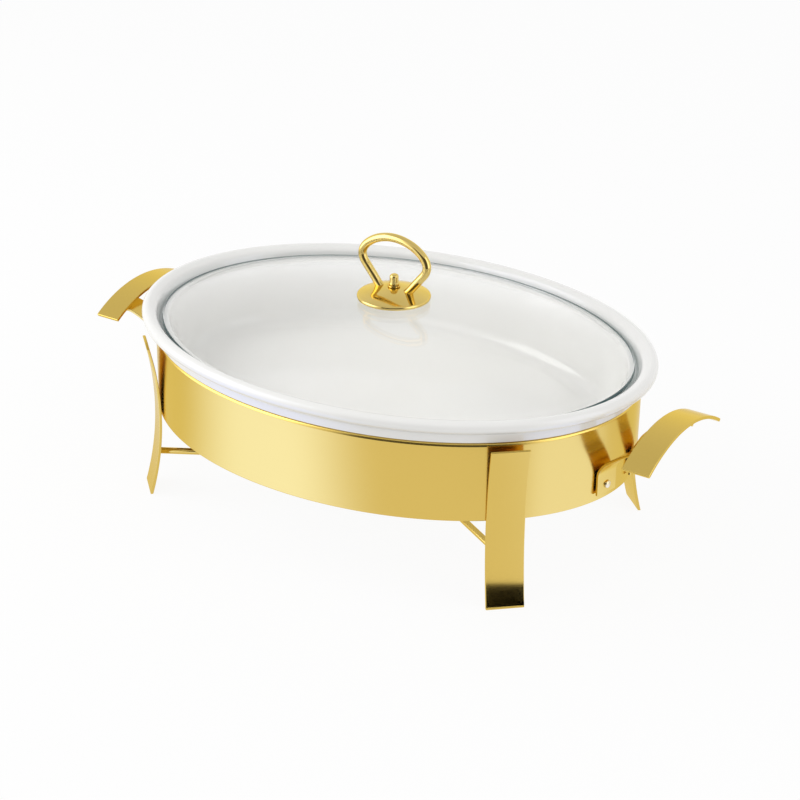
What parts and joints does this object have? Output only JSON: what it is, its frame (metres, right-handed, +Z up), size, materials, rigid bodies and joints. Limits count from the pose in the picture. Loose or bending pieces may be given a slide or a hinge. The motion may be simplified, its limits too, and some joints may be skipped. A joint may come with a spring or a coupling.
{
  "type": "oval food warmer",
  "caption": "Oval casserole dish with a domed glass lid and ring knob, held in a metal band stand with bowed strap legs, arched side handles, crossing rods and a tealight cup.",
  "frame": {"origin": "on the table top, under the centre of the oval", "axes": "+X along the oval's long axis through both handles, +Y across the oval, +Z up"},
  "size_m": [0.4376, 0.276, 0.1921],
  "materials": {
    "stand_gold": "satin gold-coloured plating on steel",
    "knob_gold": "polished gold-coloured plating",
    "rivet_steel": "bright pale rivet",
    "screw_steel": "plain zinc-plated steel",
    "dish_glaze": "glossy white glaze",
    "lid_glass": "clear tempered glass with a polished green edge",
    "seal_rubber": "translucent silicone",
    "tealight_foil": "thin bright aluminium",
    "candle_wax": "pale paraffin wax",
    "wick_cotton": "waxed cotton"
  },
  "bodies": {
    "stand": {"stand_band": "stand_gold", "leg_front_right": "stand_gold", "leg_back_right": "stand_gold", "leg_front_left": "stand_gold", "leg_back_left": "stand_gold", "cross_rod_lower": "stand_gold", "cross_rod_upper": "stand_gold", "candle_cup": "stand_gold", "handle_right": "stand_gold", "handle_left": "stand_gold", "handle_arm_front_right": "stand_gold", "handle_arm_back_right": "stand_gold", "handle_arm_front_left": "stand_gold", "handle_arm_back_left": "stand_gold", "arm_rivet_front_right": "rivet_steel", "arm_rivet_back_right": "rivet_steel", "arm_rivet_front_left": "rivet_steel", "arm_rivet_back_left": "rivet_steel"},
    "dish": {"ceramic_dish": "dish_glaze"},
    "lid": {"glass_lid": "lid_glass", "knob_seal_upper": "seal_rubber", "knob_plate": "knob_gold", "knob_ring": "knob_gold", "knob_washer_upper": "knob_gold", "knob_cap_nut": "knob_gold", "knob_seal_lower": "seal_rubber", "knob_washer_lower": "screw_steel", "knob_screw": "screw_steel"},
    "tealight": {"tealight_shell": "tealight_foil", "tealight_wax": "candle_wax", "tealight_wick_tab": "tealight_foil", "tealight_wick": "wick_cotton"}
  },
  "joints": [
    {"name": "dish_lift", "type": "slide", "parent": "stand", "child": "dish", "axis": [0, 0, 1], "range_m": [0, 0.12]},
    {"name": "lid_lift", "type": "slide", "parent": "dish", "child": "lid", "axis": [0, 0, 1], "range_m": [0, 0.1]},
    {"name": "tealight_lift", "type": "slide", "parent": "stand", "child": "tealight", "axis": [0, 0, 1], "range_m": [0, 0.0125]}
  ]
}
